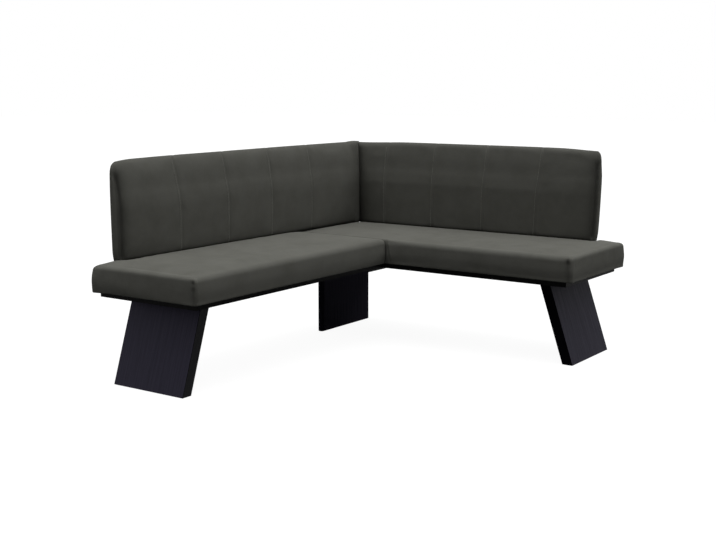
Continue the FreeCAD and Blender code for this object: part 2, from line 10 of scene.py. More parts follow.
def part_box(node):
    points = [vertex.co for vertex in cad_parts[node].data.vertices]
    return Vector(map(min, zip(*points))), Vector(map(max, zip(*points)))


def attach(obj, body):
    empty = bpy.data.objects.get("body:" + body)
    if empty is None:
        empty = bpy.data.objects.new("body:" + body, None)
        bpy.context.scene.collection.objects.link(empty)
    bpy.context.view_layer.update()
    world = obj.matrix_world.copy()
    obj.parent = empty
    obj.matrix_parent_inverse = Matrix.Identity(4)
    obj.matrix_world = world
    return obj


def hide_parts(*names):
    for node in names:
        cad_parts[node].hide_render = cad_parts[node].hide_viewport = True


bl_info = {
    "name": "Upholstered Corner Bench",
    "version": (1, 0, 0),
    "blender": (4, 5, 0),
    "location": "3D View > Sidebar > Bench",
    "description": "Dresses a corner bench with sewn leatherette cushions, stained legs and a studio",
    "category": "Object",
}

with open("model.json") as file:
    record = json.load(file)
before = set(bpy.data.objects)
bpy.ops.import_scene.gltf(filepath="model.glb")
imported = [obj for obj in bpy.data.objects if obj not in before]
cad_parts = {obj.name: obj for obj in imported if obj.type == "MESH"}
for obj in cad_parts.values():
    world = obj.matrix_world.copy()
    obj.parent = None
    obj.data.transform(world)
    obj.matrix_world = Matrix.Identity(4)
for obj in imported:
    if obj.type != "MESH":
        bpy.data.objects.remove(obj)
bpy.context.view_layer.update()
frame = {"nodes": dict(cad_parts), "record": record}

MM = 0.001

# Where the two wings start, in millimetres
LONG_START = Vector(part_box("long_seat_cover")[0]) / MM
SHORT_START = Vector(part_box("short_seat_cover")[0]) / MM


# Sizes and colours

def length(name, description, default):
    """A length property that is given in millimetres and kept in metres."""
    return bpy.props.FloatProperty(name=name, description=description, default=default * MM,
                                   unit="LENGTH", subtype="DISTANCE", precision=4)


def linear(code):
    """An sRGB hex colour as linear red, green, blue and alpha."""
    channels = [int(code[place:place + 2], 16) / 255 for place in (1, 3, 5)]
    values = [c / 12.92 if c <= 0.04045 else ((c + 0.055) / 1.055) ** 2.4 for c in channels]
    return (*values, 1.0)


def toned(tone, share):
    """A share of a colour."""
    return (*(share * value for value in tone[:3]), 1.0)


def colour(name, description, code):
    return bpy.props.FloatVectorProperty(name=name, description=description, subtype="COLOR", size=4,
                                         min=0.0, max=1.0, default=linear(code))


def number(name, description, default):
    return bpy.props.FloatProperty(name=name, description=description, default=default)


class CornerBenchUpholstery(bpy.types.PropertyGroup):
    """Sizes and colours of the sewn cushions"""
    cell: length("Mesh cell", "Side of the quads that a cushion is made of", 12.0)
    crown: length("Seat crown", "Rise of a seat cushion from its edge to its middle", 11.0)
    channel: length("Channel", "Rise of a backrest's channel between its seams", 2.0)
    seam_depth: length("Seam depth", "Depth of the groove beside a sewn seam of a backrest", 4.5)
    seam_width: length("Seam width", "Half the width of that groove", 5.0)
    seam_ridge: length("Seam ridge", "Rise of the cover where it is folded under its stitches", 2.2)
    puff: length("Puff", "Most that the air in a cushion may move its cover", 4.0)
    cover: colour("Cover colour", "Colour of the leatherette", "#61615c")
    cover_dark: colour("Cover shade", "Colour of the leatherette in its grain", "#5a5a55")
    thread: colour("Thread colour", "Colour of the sewing thread", "#9c9c95")
    stitch_length: length("Stitch length", "Length of one stitch", 5.0)
    stitch_pitch: length("Stitch pitch", "Distance from one stitch to the next", 6.5)
    stitch_thickness: length("Stitch thickness", "Thickness of the sewing thread", 1.8)


class CornerBenchWood(bpy.types.PropertyGroup):
    """Colours of the legs and the base frame"""
    stain: colour("Stain colour", "Colour of the stained legs", "#2b2934")
    stain_dark: colour("Stain shade", "Colour of the pores in the stained legs", "#1a1922")
    lacquer: colour("Lacquer colour", "Colour of the lacquered base frame", "#1e1e1e")
    lacquer_dark: colour("Lacquer shade", "Colour of the lacquered base frame in its pores", "#141414")


class CornerBenchStage(bpy.types.PropertyGroup):
    """The studio around the bench"""
    floor_size: bpy.props.FloatProperty(name="Floor size", description="Side of the floor", default=60.0,
                                        unit="LENGTH", subtype="DISTANCE")
    floor: colour("Floor colour", "Colour of the floor", "#6c6c6c")
    left_light: number("Left light", "Strength of the broad light above the left side of the view", 1.55)
    right_light: number("Right light", "Strength of the broad light above the right side of the view", 2.1)
    aside: number("Lights aside", "How far the two lights stand aside, for each unit of height", 0.38)
    spread: bpy.props.FloatProperty(name="Light spread", description="Angle that each broad light fills",
                                    default=math.radians(70), unit="ROTATION", subtype="ANGLE")
    sky: number("Sky strength", "Strength of the even light all round", 0.07)
    floor_glow: number("Floor glow", "Light that the lit paper sends to the eye on its own", 0.94)


# Materials

# The lacquer on the legs has a violet cast
LACQUER_CAST = linear("#d4cbff")
# Painted shade: no reflection on the legs' narrow sides
PAINTED_SIDE_SHADE_TINT = linear("#000000")


def add_node(tree, kind, settings=None, **links):
    """Adds a node, sets its properties and sockets, and links its inputs from other nodes' outputs."""
    node = tree.nodes.new(kind)
    for key, value in (settings or {}).items():
        if key in node.inputs:
            node.inputs[key].default_value = value
        else:
            setattr(node, key, value)
    for key, source in links.items():
        name = key.replace("_", " ")
        tree.links.new(source, node.inputs[int(name[2:]) if name.startswith("at") else name])
    return node


def new_material(name, rough, **extra):
    """A material with one Principled shader, whose constants sit on its own sockets."""
    material = bpy.data.materials.new(name)
    material.use_nodes = True
    tree = material.node_tree
    tree.nodes.clear()
    shader = add_node(tree, "ShaderNodeBsdfPrincipled", {"Roughness": rough, **extra})
    output = add_node(tree, "ShaderNodeOutputMaterial", Surface=shader.outputs["BSDF"])
    output.is_active_output = True
    return material, tree, shader


def pattern(tree, kind, sizes, turn=(0.0, 0.0, 0.0), **settings):
    """A texture whose cells have these sizes in millimetres, on the object's own coordinates."""
    where = add_node(tree, "ShaderNodeTexCoord").outputs["Object"]
    place = add_node(tree, "ShaderNodeMapping", {"vector_type": "TEXTURE", "Rotation": turn,
                                                 "Scale": tuple(size * MM for size in sizes)}, Vector=where)
    return add_node(tree, kind, {"Scale": 1.0, **settings}, Vector=place.outputs["Vector"])


def set_stops(tones, low, high, start=0.0, end=1.0):
    """Two colours for a colour ramp, and the values at which they stand."""
    for stop, place, tone in zip(tones.color_ramp.elements, (start, end), (low, high)):
        stop.position = place
        stop.color = tone


def colour_and_relief(tree, shader, shade, dark, light, height, depth, start=0.3, end=0.7, **before):
    """Colours a shader between two tones by one pattern, and gives it relief by another, with its depth in
    millimetres."""
    tones = add_node(tree, "ShaderNodeValToRGB", Fac=shade)
    set_stops(tones, dark, light, start, end)
    relief = add_node(tree, "ShaderNodeBump", {"Distance": depth * MM}, Height=height, **before)
    tree.links.new(tones.outputs["Color"], shader.inputs["Base Color"])
    tree.links.new(relief.outputs["Normal"], shader.inputs["Normal"])


def roughen(tree, shader, by, low, high):
    """Roughness between two values, by a pattern."""
    rough = add_node(tree, "ShaderNodeMapRange", {"To Min": low, "To Max": high}, Value=by)
    tree.links.new(rough.outputs["Result"], shader.inputs["Roughness"])


def paint_shade(tree, shader, where, share):
    """Paints shade into a shader's colour: leaves a share of it where a pattern is 1."""
    left = add_node(tree, "ShaderNodeMapRange", {"To Min": 1.0, "To Max": share}, Value=where)
    colour_before = shader.inputs["Base Color"].links[0].from_socket
    darker = add_node(tree, "ShaderNodeVectorMath", {"operation": "SCALE"}, at0=colour_before,
                      Scale=left.outputs["Result"])
    tree.links.new(darker.outputs["Vector"], shader.inputs["Base Color"])


def leatherette(sizes):
    """Polyurethane skin embossed on cloth. To the eye it is matt and olive grey, with small pebbles and a
    faint clouding where the foam below is softer. Shade is painted into its colour deep in a fold or a
    seam, at the foot of a backrest and in the corner between the backrests, where less light gets in than
    the mesh lets through."""
    material, tree, shader = new_material("Embossed polyurethane leatherette", 0.6, **{
        "Specular IOR Level": 0.01})
    # Pebbles are 1 mm on such a cover, and drawn 2.5 mm wide so that they show
    pebbles = pattern(tree, "ShaderNodeTexVoronoi", (2.5, 2.5, 2.5)).outputs["Distance"]
    clouds = pattern(tree, "ShaderNodeTexNoise", (110, 110, 110), Detail=3.0, Roughness=0.6).outputs["Fac"]
    wrinkles = pattern(tree, "ShaderNodeTexNoise", (24, 24, 24), Detail=3.0, Roughness=0.6).outputs["Fac"]
    soft = add_node(tree, "ShaderNodeBump", {"Distance": 0.5 * MM}, Height=wrinkles).outputs["Normal"]
    colour_and_relief(tree, shader, clouds, tuple(sizes.cover_dark), tuple(sizes.cover), pebbles, 0.12,
                      0.25, 0.6, Normal=soft)
    roughen(tree, shader, pebbles, 0.68, 0.54)
    # Painted shade: the colour keeps 0.3 of itself where the fold attribute is 1, in folds, seams, creases
    # and the corner between the backrests
    painted_shade = add_node(tree, "ShaderNodeAttribute", {"attribute_name": "fold"}).outputs["Fac"]
    paint_shade(tree, shader, painted_shade, 0.3)
    return material


def thread(sizes):
    """Spun polyester thread: a dull line, slightly lighter than the cover, with a twist along it."""
    material, tree, shader = new_material("Spun polyester thread", 0.75, **{"Specular IOR Level": 0.05})
    # Its strands are about 0.9 mm long where they lie on top
    twist = pattern(tree, "ShaderNodeTexNoise", (0.9, 0.9, 0.9), Detail=1.0).outputs["Fac"]
    colour_and_relief(tree, shader, twist, tuple(sizes.cover), tuple(sizes.thread), twist, 0.2)
    return material


def grained(name, dark, light, rough, sizes, depth, turn=(0.0, 0.0, 0.0), detail=3.0, **extra):
    """A material whose colour, gloss and relief follow one stretched noise, with sizes in millimetres."""
    material, tree, shader = new_material(name, rough, **extra)
    grain = pattern(tree, "ShaderNodeTexNoise", sizes, turn, Detail=detail, Roughness=0.6).outputs["Fac"]
    colour_and_relief(tree, shader, grain, dark, light, grain, depth)
    roughen(tree, shader, grain, min(rough + 0.1, 1.0), max(rough - 0.1, 0.0))
    return material


def stained_board(piece, dark, light, gloss, turn):
    """Open-pored oak under black stain and a satin lacquer: faint streaks and pores along the board."""
    # Pores are 0.3 mm wide, and drawn 5 mm wide so that they show
    name = "Black stained oak, " + piece.name.replace("_", " ")
    return grained(name, dark, light, 0.45, (5, 5, 160), 0.25, turn,
                   **{"Specular IOR Level": gloss, "Specular Tint": LACQUER_CAST})


def paint_side_shade(material, piece, across, share):
    """Paints shade on the two narrow sides of a board, across an axis of the object: they keep a share of
    their colour and lose the lacquer's reflection, as sides that catch less light."""
    tree = material.node_tree
    shader = next(node for node in tree.nodes if node.type == "BSDF_PRINCIPLED")
    low, high = (piece.bound_box[corner][across] for corner in (0, 6))
    where = add_node(tree, "ShaderNodeTexCoord").outputs["Object"]
    place = add_node(tree, "ShaderNodeSeparateXYZ", Vector=where).outputs["XYZ"[across]]
    # From -1 on one side of the board to 1 on the other
    place = add_node(tree, "ShaderNodeMapRange", {"From Min": low, "From Max": high, "To Min": -1.0},
                     Value=place)
    away = add_node(tree, "ShaderNodeMath", {"operation": "ABSOLUTE"}, at0=place.outputs["Result"])
    # What lies within 1 mm of either side counts as the side
    start = 1 - 2 * MM / (high - low)
    side = add_node(tree, "ShaderNodeMapRange", {"From Min": start, "From Max": start + 0.001},
                    Value=away.outputs["Value"]).outputs["Result"]
    paint_shade(tree, shader, side, share)
    # Painted shade: the sides lose the lacquer's cast and its reflection
    cast = add_node(tree, "ShaderNodeValToRGB", Fac=side)
    set_stops(cast, LACQUER_CAST, PAINTED_SIDE_SHADE_TINT)
    tree.links.new(cast.outputs["Color"], shader.inputs["Specular Tint"])


def woven(name, dark, light, pitch, rough):
    """Cloth or webbing: two waves across each other give its threads."""
    material, tree, shader = new_material(name, rough)
    # At this scale one wave is as wide as its cell
    waves = [pattern(tree, "ShaderNodeTexWave", (pitch, pitch, pitch), bands_direction=way, Scale=0.314,
                     Distortion=0.4) for way in ("X", "Y")]
    threads = add_node(tree, "ShaderNodeMath", {"operation": "MULTIPLY"},
                       at0=waves[0].outputs["Fac"], at1=waves[1].outputs["Fac"]).outputs["Value"]
    colour_and_relief(tree, shader, threads, dark, light, threads, 0.3, 0.0, 0.6)
    return material


# Meshes

def select_only(piece):
    bpy.ops.object.select_all(action="DESELECT")
    piece.select_set(True)
    bpy.context.view_layer.objects.active = piece


def select_edges_along(piece, axis):
    """Selects, in edit mode, the edges that run along one axis."""
    mesh = bmesh.from_edit_mesh(piece.data)
    for edge in mesh.edges:
        run = edge.verts[0].co - edge.verts[1].co
        edge.select = abs(run[axis]) > max(abs(run[other]) for other in range(3) if other != axis)
    bmesh.update_edit_mesh(piece.data)


def box_grid(name, counts):
    """A unit box, cut into counts cells along X, Y and Z."""
    bpy.ops.object.select_all(action="DESELECT")
    bpy.ops.mesh.primitive_cube_add(size=1, location=(0.5, 0.5, 0.5))
    box = bpy.context.active_object
    box.name = name
    box.data.name = name
    bpy.ops.object.transform_apply(location=True, rotation=True, scale=True)
    bpy.ops.object.mode_set(mode="EDIT")
    bpy.ops.mesh.select_mode(type="EDGE")
    for axis, count in enumerate(counts):
        for cuts in (2, count // 2):
            select_edges_along(box, axis)
            if cuts > 1:
                bpy.ops.mesh.subdivide(number_cuts=cuts - 1)
    bpy.ops.object.mode_set(mode="OBJECT")
    return box


def spaced(stops, cell):
    """Places from the first stop to the last, with each gap divided evenly, and an even number of cells."""
    places = [stops[0]]
    gaps = [max(1, round((high - low) / cell)) for low, high in zip(stops, stops[1:])]
    if sum(gaps) % 2:
        widest = max(range(len(gaps)), key=lambda index: (stops[index + 1] - stops[index]) / gaps[index])
        gaps[widest] += 1
    for low, high, count in zip(stops, stops[1:], gaps):
        places += [low + (high - low) * step / count for step in range(1, count + 1)]
    return np.array(places)


def grid_box(name, *stops):
    """A box with cells between these stops along X, Y and Z. Returns it with each vertex's cell numbers and
    its three places among the stops."""
    counts = [len(places) - 1 for places in stops]
    box = box_grid(name, counts)
    index = np.rint(read_places(box) * np.array(counts)).astype(int)
    return box, index, [places[index[:, axis]] for axis, places in enumerate(stops)]


def read_places(piece):
    flat = np.zeros(len(piece.data.vertices) * 3)
    piece.data.vertices.foreach_get("co", flat)
    return flat.reshape(-1, 3)


def set_places(piece, places):
    piece.data.vertices.foreach_set("co", places.ravel())
    piece.data.update()


def smooth_step(value, low, high):
    share = np.clip((value - low) / (high - low), 0.0, 1.0)
    return share * share * (3 - 2 * share)


def note_painted_shade(piece, amount):
    """Notes how much shade is painted on each place of a cover, from 0 to 1: deep in a fold or a seam, and
    where shade falls in creases and corners.
    """
    painted_shade = piece.data.attributes.new("fold", "FLOAT", "POINT")
    painted_shade.data.foreach_set("value", np.clip(amount, 0, 1).astype(np.float32))


def near(value, centre, width):
    """1 at the centre, falling smoothly to nothing some widths away."""
    return np.exp(-((value - centre) / width) ** 2)


def beside(away, reach):
    """1 at an edge, falling to nothing some reaches away from it."""
    return np.exp(-np.maximum(away, 0) / reach)


def rounded(u, v, low_u, high_u, low_v, high_v, radius):
    """Moves points of a rectangle so that its corners are round, as squares turn into circles."""
    inner_u = np.clip(u, low_u + radius, high_u - radius)
    inner_v = np.clip(v, low_v + radius, high_v - radius)
    du = u - inner_u
    dv = v - inner_v
    reach = np.maximum(np.abs(du), np.abs(dv))
    far = np.hypot(du, dv)
    scale = np.where(far > 0, reach / np.where(far > 0, far, 1.0), 1.0)
    return inner_u + du * scale, inner_v + dv * scale


def to_wing(along_y, u, v, z):
    """Places along and across a wing, in millimetres, as places in the bench's frame in metres."""
    if along_y:
        return np.column_stack((SHORT_START.x + v, SHORT_START.y + u, z)) * MM
    return np.column_stack((LONG_START.x + u, LONG_START.y + v, z)) * MM


def curve_through(xs, ys, at):
    """A smooth curve through the points, without overshoot between them."""
    xs = np.array(xs)
    ys = np.array(ys)
    slopes = np.diff(ys) / np.diff(xs)
    tangents = np.zeros(len(xs))
    for place in range(1, len(xs) - 1):
        before, after = slopes[place - 1], slopes[place]
        tangents[place] = 0.0 if before * after <= 0 else 2 * before * after / (before + after)
    tangents[0] = slopes[0]
    tangents[-1] = slopes[-1]
    cell = np.clip(np.searchsorted(xs, at) - 1, 0, len(xs) - 2)
    width = xs[cell + 1] - xs[cell]
    t = (at - xs[cell]) / width
    return ((2 * t ** 3 - 3 * t ** 2 + 1) * ys[cell] + (t ** 3 - 2 * t ** 2 + t) * width * tangents[cell]
            + (-2 * t ** 3 + 3 * t ** 2) * ys[cell + 1] + (t ** 3 - t ** 2) * width * tangents[cell + 1])


def finish_mesh(piece, levels=1):
    """Faces outwards, smooth shading and applied subdivision."""
    select_only(piece)
    bpy.ops.object.mode_set(mode="EDIT")
    bpy.ops.mesh.select_all(action="SELECT")
    bpy.ops.mesh.normals_make_consistent(inside=False)
    bpy.ops.object.mode_set(mode="OBJECT")
    if levels:
        bpy.ops.object.modifier_add(type="SUBSURF")
        modifier = piece.modifiers[-1]
        modifier.levels = levels
        modifier.render_levels = levels
        bpy.ops.object.modifier_apply(modifier=modifier.name)
    bpy.ops.object.shade_smooth()


def inflate(piece, held, cap, pressure=3.0):
    """Blows the cover up as cloth where it isn't held, and limits how far it moves."""
    select_only(piece)
    before = read_places(piece)
    group = piece.vertex_groups.new(name="held")
    for index, weight in enumerate(held):
        if weight > 0:
            group.add([index], float(weight), "REPLACE")
    bpy.ops.object.modifier_add(type="CLOTH")
    cloth = piece.modifiers[-1]
    settings = cloth.settings
    settings.quality = 4
    settings.mass = 0.3
    settings.vertex_group_mass = group.name
    settings.pin_stiffness = 1.0
    settings.tension_stiffness = 30.0
    settings.compression_stiffness = 20.0
    settings.bending_stiffness = 2.0
    settings.use_pressure = True
    settings.uniform_pressure_force = pressure
    settings.effector_weights.gravity = 0.0
    cloth.point_cache.frame_start = 1
    cloth.point_cache.frame_end = 20
    for step in range(1, 21):
        bpy.context.scene.frame_set(step)
    bpy.ops.object.modifier_apply(modifier=cloth.name)
    bpy.context.scene.frame_set(1)
    move = read_places(piece) - before
    far = np.linalg.norm(move, axis=1)
    print("cloth", piece.name, "moved", round(far.max() / MM, 2), "mean", round(far.mean() / MM, 2))
    # The further a place would go, the nearer it comes to the cap
    scale = 1 / (1 + far / cap)
    set_places(piece, before + move * scale[:, None])
    piece.vertex_groups.clear()


# Seat cushions: sizes in millimetres, and heights as shares of the way from the bottom to the top edge

SEAT_BOTTOM = 368.0
SEAT_EDGE = 477.0
SEAT_PRESSED = 469.0
SEAT_DEPTH = 547.0
SEAT_LENGTHS = {"long": 1219.0, "short": 1438.5}
# Radii of the top edge: at the front, at the front where the cushions meet, and at the other sides
SEAT_RADIUS = 27.0
SEAM_RADIUS = 14.0
INNER_RADIUS = 9.0
REAR_RADIUS = 16.0
END_RADIUS = 16.0
# Radii of the upright corners, at the front and the rear
FREE_CORNERS = (15.0, 7.0)
INNER_CORNERS = (4.0, 20.0)
# Where the backrests stand on the seats, where the cushions meet, and how far the long one presses in
BACK_START = 118.0
BACK_FRONT = 498.0
LONG_BACK_ON_CORNER = 1388.0
CUSHIONS_MEET = 885.0
CONTACT_PUSH = 9.0
# How far the sides are drawn in at their foot, and below what height
FRONT_FOOT = 7.0
END_FEET = {"long": 4.0, "short": 7.0}
FOOT_HEIGHT = 0.48
# How far the front and the free ends lean in, from what height on, and over what height
FRONT_LEAN = (2.5, 0.35, 0.4)
END_LEANS = {"long": (5.0, 0.3, 0.7), "short": (3.0, 0.3, 0.7)}
# How far the free ends stand out, and how far the front draws in between its corners
END_BULGES = {"long": 9.0, "short": 8.0}
FRONT_SAG = 2.5
# How far the free end hangs along its top edge, and at its rear corner with the width along the wing
END_HANGS = {"long": 5.0, "short": 0.0}
REAR_HANGS = {"long": (4.0, 80.0), "short": (2.0, 45.0)}
# How far in front of a backrest the seat is pressed, and how far shade is painted on it
PRESS_REACH = 50.0
CREASE_REACH = 14.0
# How far the short cushion stands up at its rear corner, and the long one sinks at its inner rear corner,
# with place and width along and across the wing
STAND_UP = (3.5, (75.0, 45.0), (SEAT_DEPTH, 40.0))
INNER_DIP = (8.0, (1222.0, 16.0), (BACK_FRONT - 6, 20.0))
# The front seam of the free end: its place along and across the wing, its width, how far it pulls in,
# and how far more at the heights of its two puckers
SEAT_SEAMS = {"long": (0.0, 12.0), "short": (20.0, 0.0)}
SEAM_WIDTH = 9.0
SEAM_PULL = 1.0
PUCKER_PULL = 3.0
TOP_PUCKER = 459.0
PUCKERS = {"long": 429.0, "short": 446.0}
# How high the cover stands up beside that seam, and how far the rear seam pulls in
SEAM_SWELL = 1.4
REAR_SEAM_PULL = 2.8
# A seam pulls both along and across the wing, by this share of its depth
DIAGONAL = 0.7
# The fold that the long cushion presses into the short one's front, and the swell beside it
FOLD_FOOT = (870.0, 375.0)
FOLD_TOP = (890.0, 470.0)
FOLD_DEPTH = 3.2
FOLD_SWELL = 1.2
# Stops of the mesh beside each edge, rows of the side above the bottom, and turns of the roll over the
# top in degrees
EDGE_STOPS = (0, 3, 6, 9, 12, 16, 22, 30)
SIDE_ROWS = (0, 4, 12, 22, 34, 44, 52, 58, 64, 70, 76)
ROLL_TURNS = (0, 12, 24, 36, 48, 60, 75, 90)


def roll_in(z, radius):
    """How far an edge of this radius is drawn in at a height of the seat."""
    up = np.clip(z - (SEAT_EDGE - radius), 0, radius)
    return radius - np.sqrt(radius ** 2 - up ** 2)


def lean_in(share, amount, start, span):
    """How far a side leans in at a height."""
    return amount * np.clip((share - start) / span, 0, 1) ** 2


def dimple(z, lowest):
    """A pull at a height of a seam: sharp above its deepest place, and running out below it."""
    return np.where(z > lowest, near(z, lowest, 4), near(z, lowest, 14))


def seat_grid(wing, cell):
    """A box with a seat cushion's cells. Returns it with each vertex's cell numbers, its place along and
    across the wing, its height, and how far it is rolled over the top edge, from 0 to 1."""
    # Closer around the foot of each backrest, and around the fold
    far_edge = [-place for place in reversed(EDGE_STOPS)]
    u_stops = [*EDGE_STOPS, 100, 126]
    if wing == "short":
        u_stops += [*(FOLD_FOOT[0] + place for place in range(-12, 30, 3)), 1372, 1396]
    u_places = spaced(u_stops + [SEAT_LENGTHS[wing] + place for place in far_edge], cell)
    v_places = spaced([*EDGE_STOPS, 482, 506] + [SEAT_DEPTH + place for place in far_edge], cell)
    turns = np.radians(ROLL_TURNS)
    z_rows = np.array([SEAT_BOTTOM + row for row in SIDE_ROWS]
                      + [SEAT_EDGE - SEAT_RADIUS + SEAT_RADIUS * math.sin(turn) for turn in turns])
    roll = np.array([0.0] * len(SIDE_ROWS) + [1 - math.cos(turn) for turn in turns])
    piece, index, (u, v, z) = grid_box(wing + "_seat_cushion", u_places, v_places, z_rows)
    return piece, index, u, v, z, roll[index[:, 2]]


def seat_outline(wing, u, v, z, share, rolled):
    """Draws a cushion's sides in and out, and rounds its corners. Returns the new places along and across
    the wing, and how far the front, the rear, the free end and the inner end are drawn in."""
    size = SEAT_LENGTHS[wing]
    depth = SEAT_DEPTH
    drawn = np.clip((share - FOOT_HEIGHT) / FOOT_HEIGHT, -1, 0) ** 2
    # Where the cushions meet, their edges are tight
    meets = smooth_step(u, CUSHIONS_MEET - 5, CUSHIONS_MEET + 9) if wing == "short" else 0.0
    front_radius = SEAT_RADIUS + (SEAM_RADIUS - SEAT_RADIUS) * meets
    lean = lean_in(share, *FRONT_LEAN)
    front = (FRONT_FOOT * drawn + lean) * (1 - meets) + CONTACT_PUSH * meets + roll_in(z, front_radius)
    rear = roll_in(z, REAR_RADIUS)
    free = END_FEET[wing] * drawn + lean_in(share, *END_LEANS[wing]) + roll_in(z, END_RADIUS)
    inner = roll_in(z, INNER_RADIUS)
    new_u = free + (size - free - inner) * u / size
    new_v = front + (depth - front - rear) * v / depth
    new_v = new_v + FRONT_SAG * np.sin(np.pi * u / size) ** 0.5 * (1 - v / depth) ** 3
    # The top of the free end stands out less at the rear
    tucked = 1 - 0.8 * share ** 3 * smooth_step(v, 460, depth)
    new_u = new_u - END_BULGES[wing] * (1 - u / size) ** 8 * tucked
    at_front = v < depth / 2
    corner = np.where(u < size / 2, np.where(at_front, *FREE_CORNERS), np.where(at_front, *INNER_CORNERS))
    # Where the cover of the free end is, before and after it is rounded at the corners
    outermost = free - END_BULGES[wing] * tucked
    new_u, new_v = rounded(new_u, new_v, outermost, size - inner, front, depth - rear,
                           corner * (1 - 0.6 * rolled))
    return new_u, new_v, (front, rear, free, inner)


def sew_seat(wing, u, v, z, new_u, new_v):
    """Pulls the seams of the free end in. Returns the new places, and how much shade is painted on each
    one, along the seam and at its puckers.
    """
    standing = smooth_step(z, SEAT_BOTTOM + 2, SEAT_BOTTOM + 30)
    seam_u, seam_v = SEAT_SEAMS[wing]
    seam = (u - seam_u) ** 2 + (v - seam_v) ** 2
    pull = ((SEAM_PULL + PUCKER_PULL * dimple(z, TOP_PUCKER) + PUCKER_PULL * dimple(z, PUCKERS[wing]))
            * standing * np.exp(-seam / SEAM_WIDTH ** 2))
    # Painted shade along the seam, more at its lower pucker, and more again at its top pucker
    painted_shade = np.exp(-seam / 13 ** 2) * (0.3 + 0.35 * near(z, PUCKERS[wing] - 3, 20)) * (z < SEAT_EDGE - 8)
    painted_shade = painted_shade + 0.6 * np.exp(-seam / 8 ** 2) * near(z, TOP_PUCKER - 3, 6)
    new_u = new_u + pull * DIAGONAL
    new_v = new_v + pull * DIAGONAL - SEAM_SWELL * standing * near(u, 14, 6) * near(v, 0, 6)
    rear_seam = u ** 2 + (SEAT_DEPTH - v - 8) ** 2
    return new_u + REAR_SEAM_PULL * standing * np.exp(-rear_seam / 6 ** 2), new_v, painted_shade


def crown_seat(wing, u, v, z, share, new_u, new_v, drawn_in, crown):
    """Crowns the top of a cushion, and lets its free end hang. Returns the new heights."""
    front, rear, free, inner = drawn_in
    along = (1 - beside(new_u - free, 50)) * (1 - 1.05 * beside(SEAT_LENGTHS[wing] - inner - new_u, 42))
    across = (1 - beside(new_v - front, 45)) * (1 - beside(SEAT_DEPTH - rear - new_v, 30))
    z = z + crown * along * across * share ** 6
    z = z - END_HANGS[wing] * share ** 3 * beside(new_u - free, 70)
    # The rear corner hangs at the top and at the bottom
    hang, width = REAR_HANGS[wing]
    return z - hang * (share ** 3 + (1 - share) ** 3) * near(u, 0, width) * near(v, SEAT_DEPTH, 60)


def contact_fold(new_u, v, z):
    """How deep the fold beside the long cushion is, in the short cushion's front."""
    climb = (z - FOLD_FOOT[1]) / (FOLD_TOP[1] - FOLD_FOOT[1])
    line = FOLD_FOOT[0] + (FOLD_TOP[0] - FOLD_FOOT[0]) * climb
    edge = near(v, 0, 8) * smooth_step(climb, -0.05, 0.1) * (1 - smooth_step(climb, 0.98, 1.08))
    return edge * (FOLD_DEPTH * near(new_u, line, 4) - FOLD_SWELL * near(new_u, line - 10, 6))


def seat_cushion(wing, settings):
    """A crowned cushion with a rolled top edge, sewn corners and the strip that the backrest presses."""
    along_y = wing == "short"
    piece, index, u, v, z, rolled = seat_grid(wing, settings.cell / MM)
    share = (z - SEAT_BOTTOM) / (SEAT_EDGE - SEAT_BOTTOM)
    new_u, new_v, drawn_in = seat_outline(wing, u, v, z, share, rolled)
    new_u, new_v, painted_shade = sew_seat(wing, u, v, z, new_u, new_v)
    z = crown_seat(wing, u, v, z, share, new_u, new_v, drawn_in, settings.crown / MM)
    press = smooth_step(new_u, 102, 124) * smooth_step(new_v, BACK_FRONT - PRESS_REACH, BACK_FRONT)
    painted_crease_shade = (new_u > BACK_START) * smooth_step(new_v, BACK_FRONT - CREASE_REACH, BACK_FRONT)
    if along_y:
        foot = LONG_BACK_ON_CORNER
        press = np.maximum(press, smooth_step(new_u, foot - PRESS_REACH, foot))
        painted_crease_shade = np.maximum(painted_crease_shade, smooth_step(new_u, foot - CREASE_REACH, foot))
        rise, along, across = STAND_UP
        z = z + rise * share ** 3 * near(u, *along) * near(v, *across)
        new_v = new_v + contact_fold(new_u, v, z)
    else:
        sink, along, across = INNER_DIP
        z = z - sink * share ** 6 * near(new_u, *along) * near(new_v, *across)
    z = z - press * (z - SEAT_BOTTOM - (SEAT_PRESSED - SEAT_BOTTOM) * np.clip(share, 0, 1))
    set_places(piece, to_wing(along_y, new_u, new_v, z))
    # Painted shade in the seam, its puckers and the crease at the foot of a backrest
    note_painted_shade(piece, painted_shade + 0.9 * painted_crease_shade * (share > 0.9))
    # The bottom, the pressed strip, the contact with the long cushion and the inner end stay
    held = np.maximum((index[:, 2] <= 1).astype(float), smooth_step(press, 0.3, 0.9))
    if along_y:
        held = np.maximum(held, smooth_step(u, CUSHIONS_MEET - 5, CUSHIONS_MEET + 5) * (v == 0))
    held = np.maximum(held, (u == SEAT_LENGTHS[wing]).astype(float))
    inflate(piece, held, settings.puff)
    finish_mesh(piece)
    return piece


# Backrests: sizes in millimetres, and heights as shares of the way from the foot to the top

BACK_THICKNESS = 60.0
BACK_BOTTOM = 470.3
BACK_TOP = 870.0
BACK_LENGTHS = {"long": 1708.5, "short": 1449.5}
SEAMS = {"long": (450.0, 746.0, 1042.0, 1338.0), "short": (412.0, 686.0, 960.0, 1234.0)}
LONG_FRONT_ON_SHORT = 1390.0
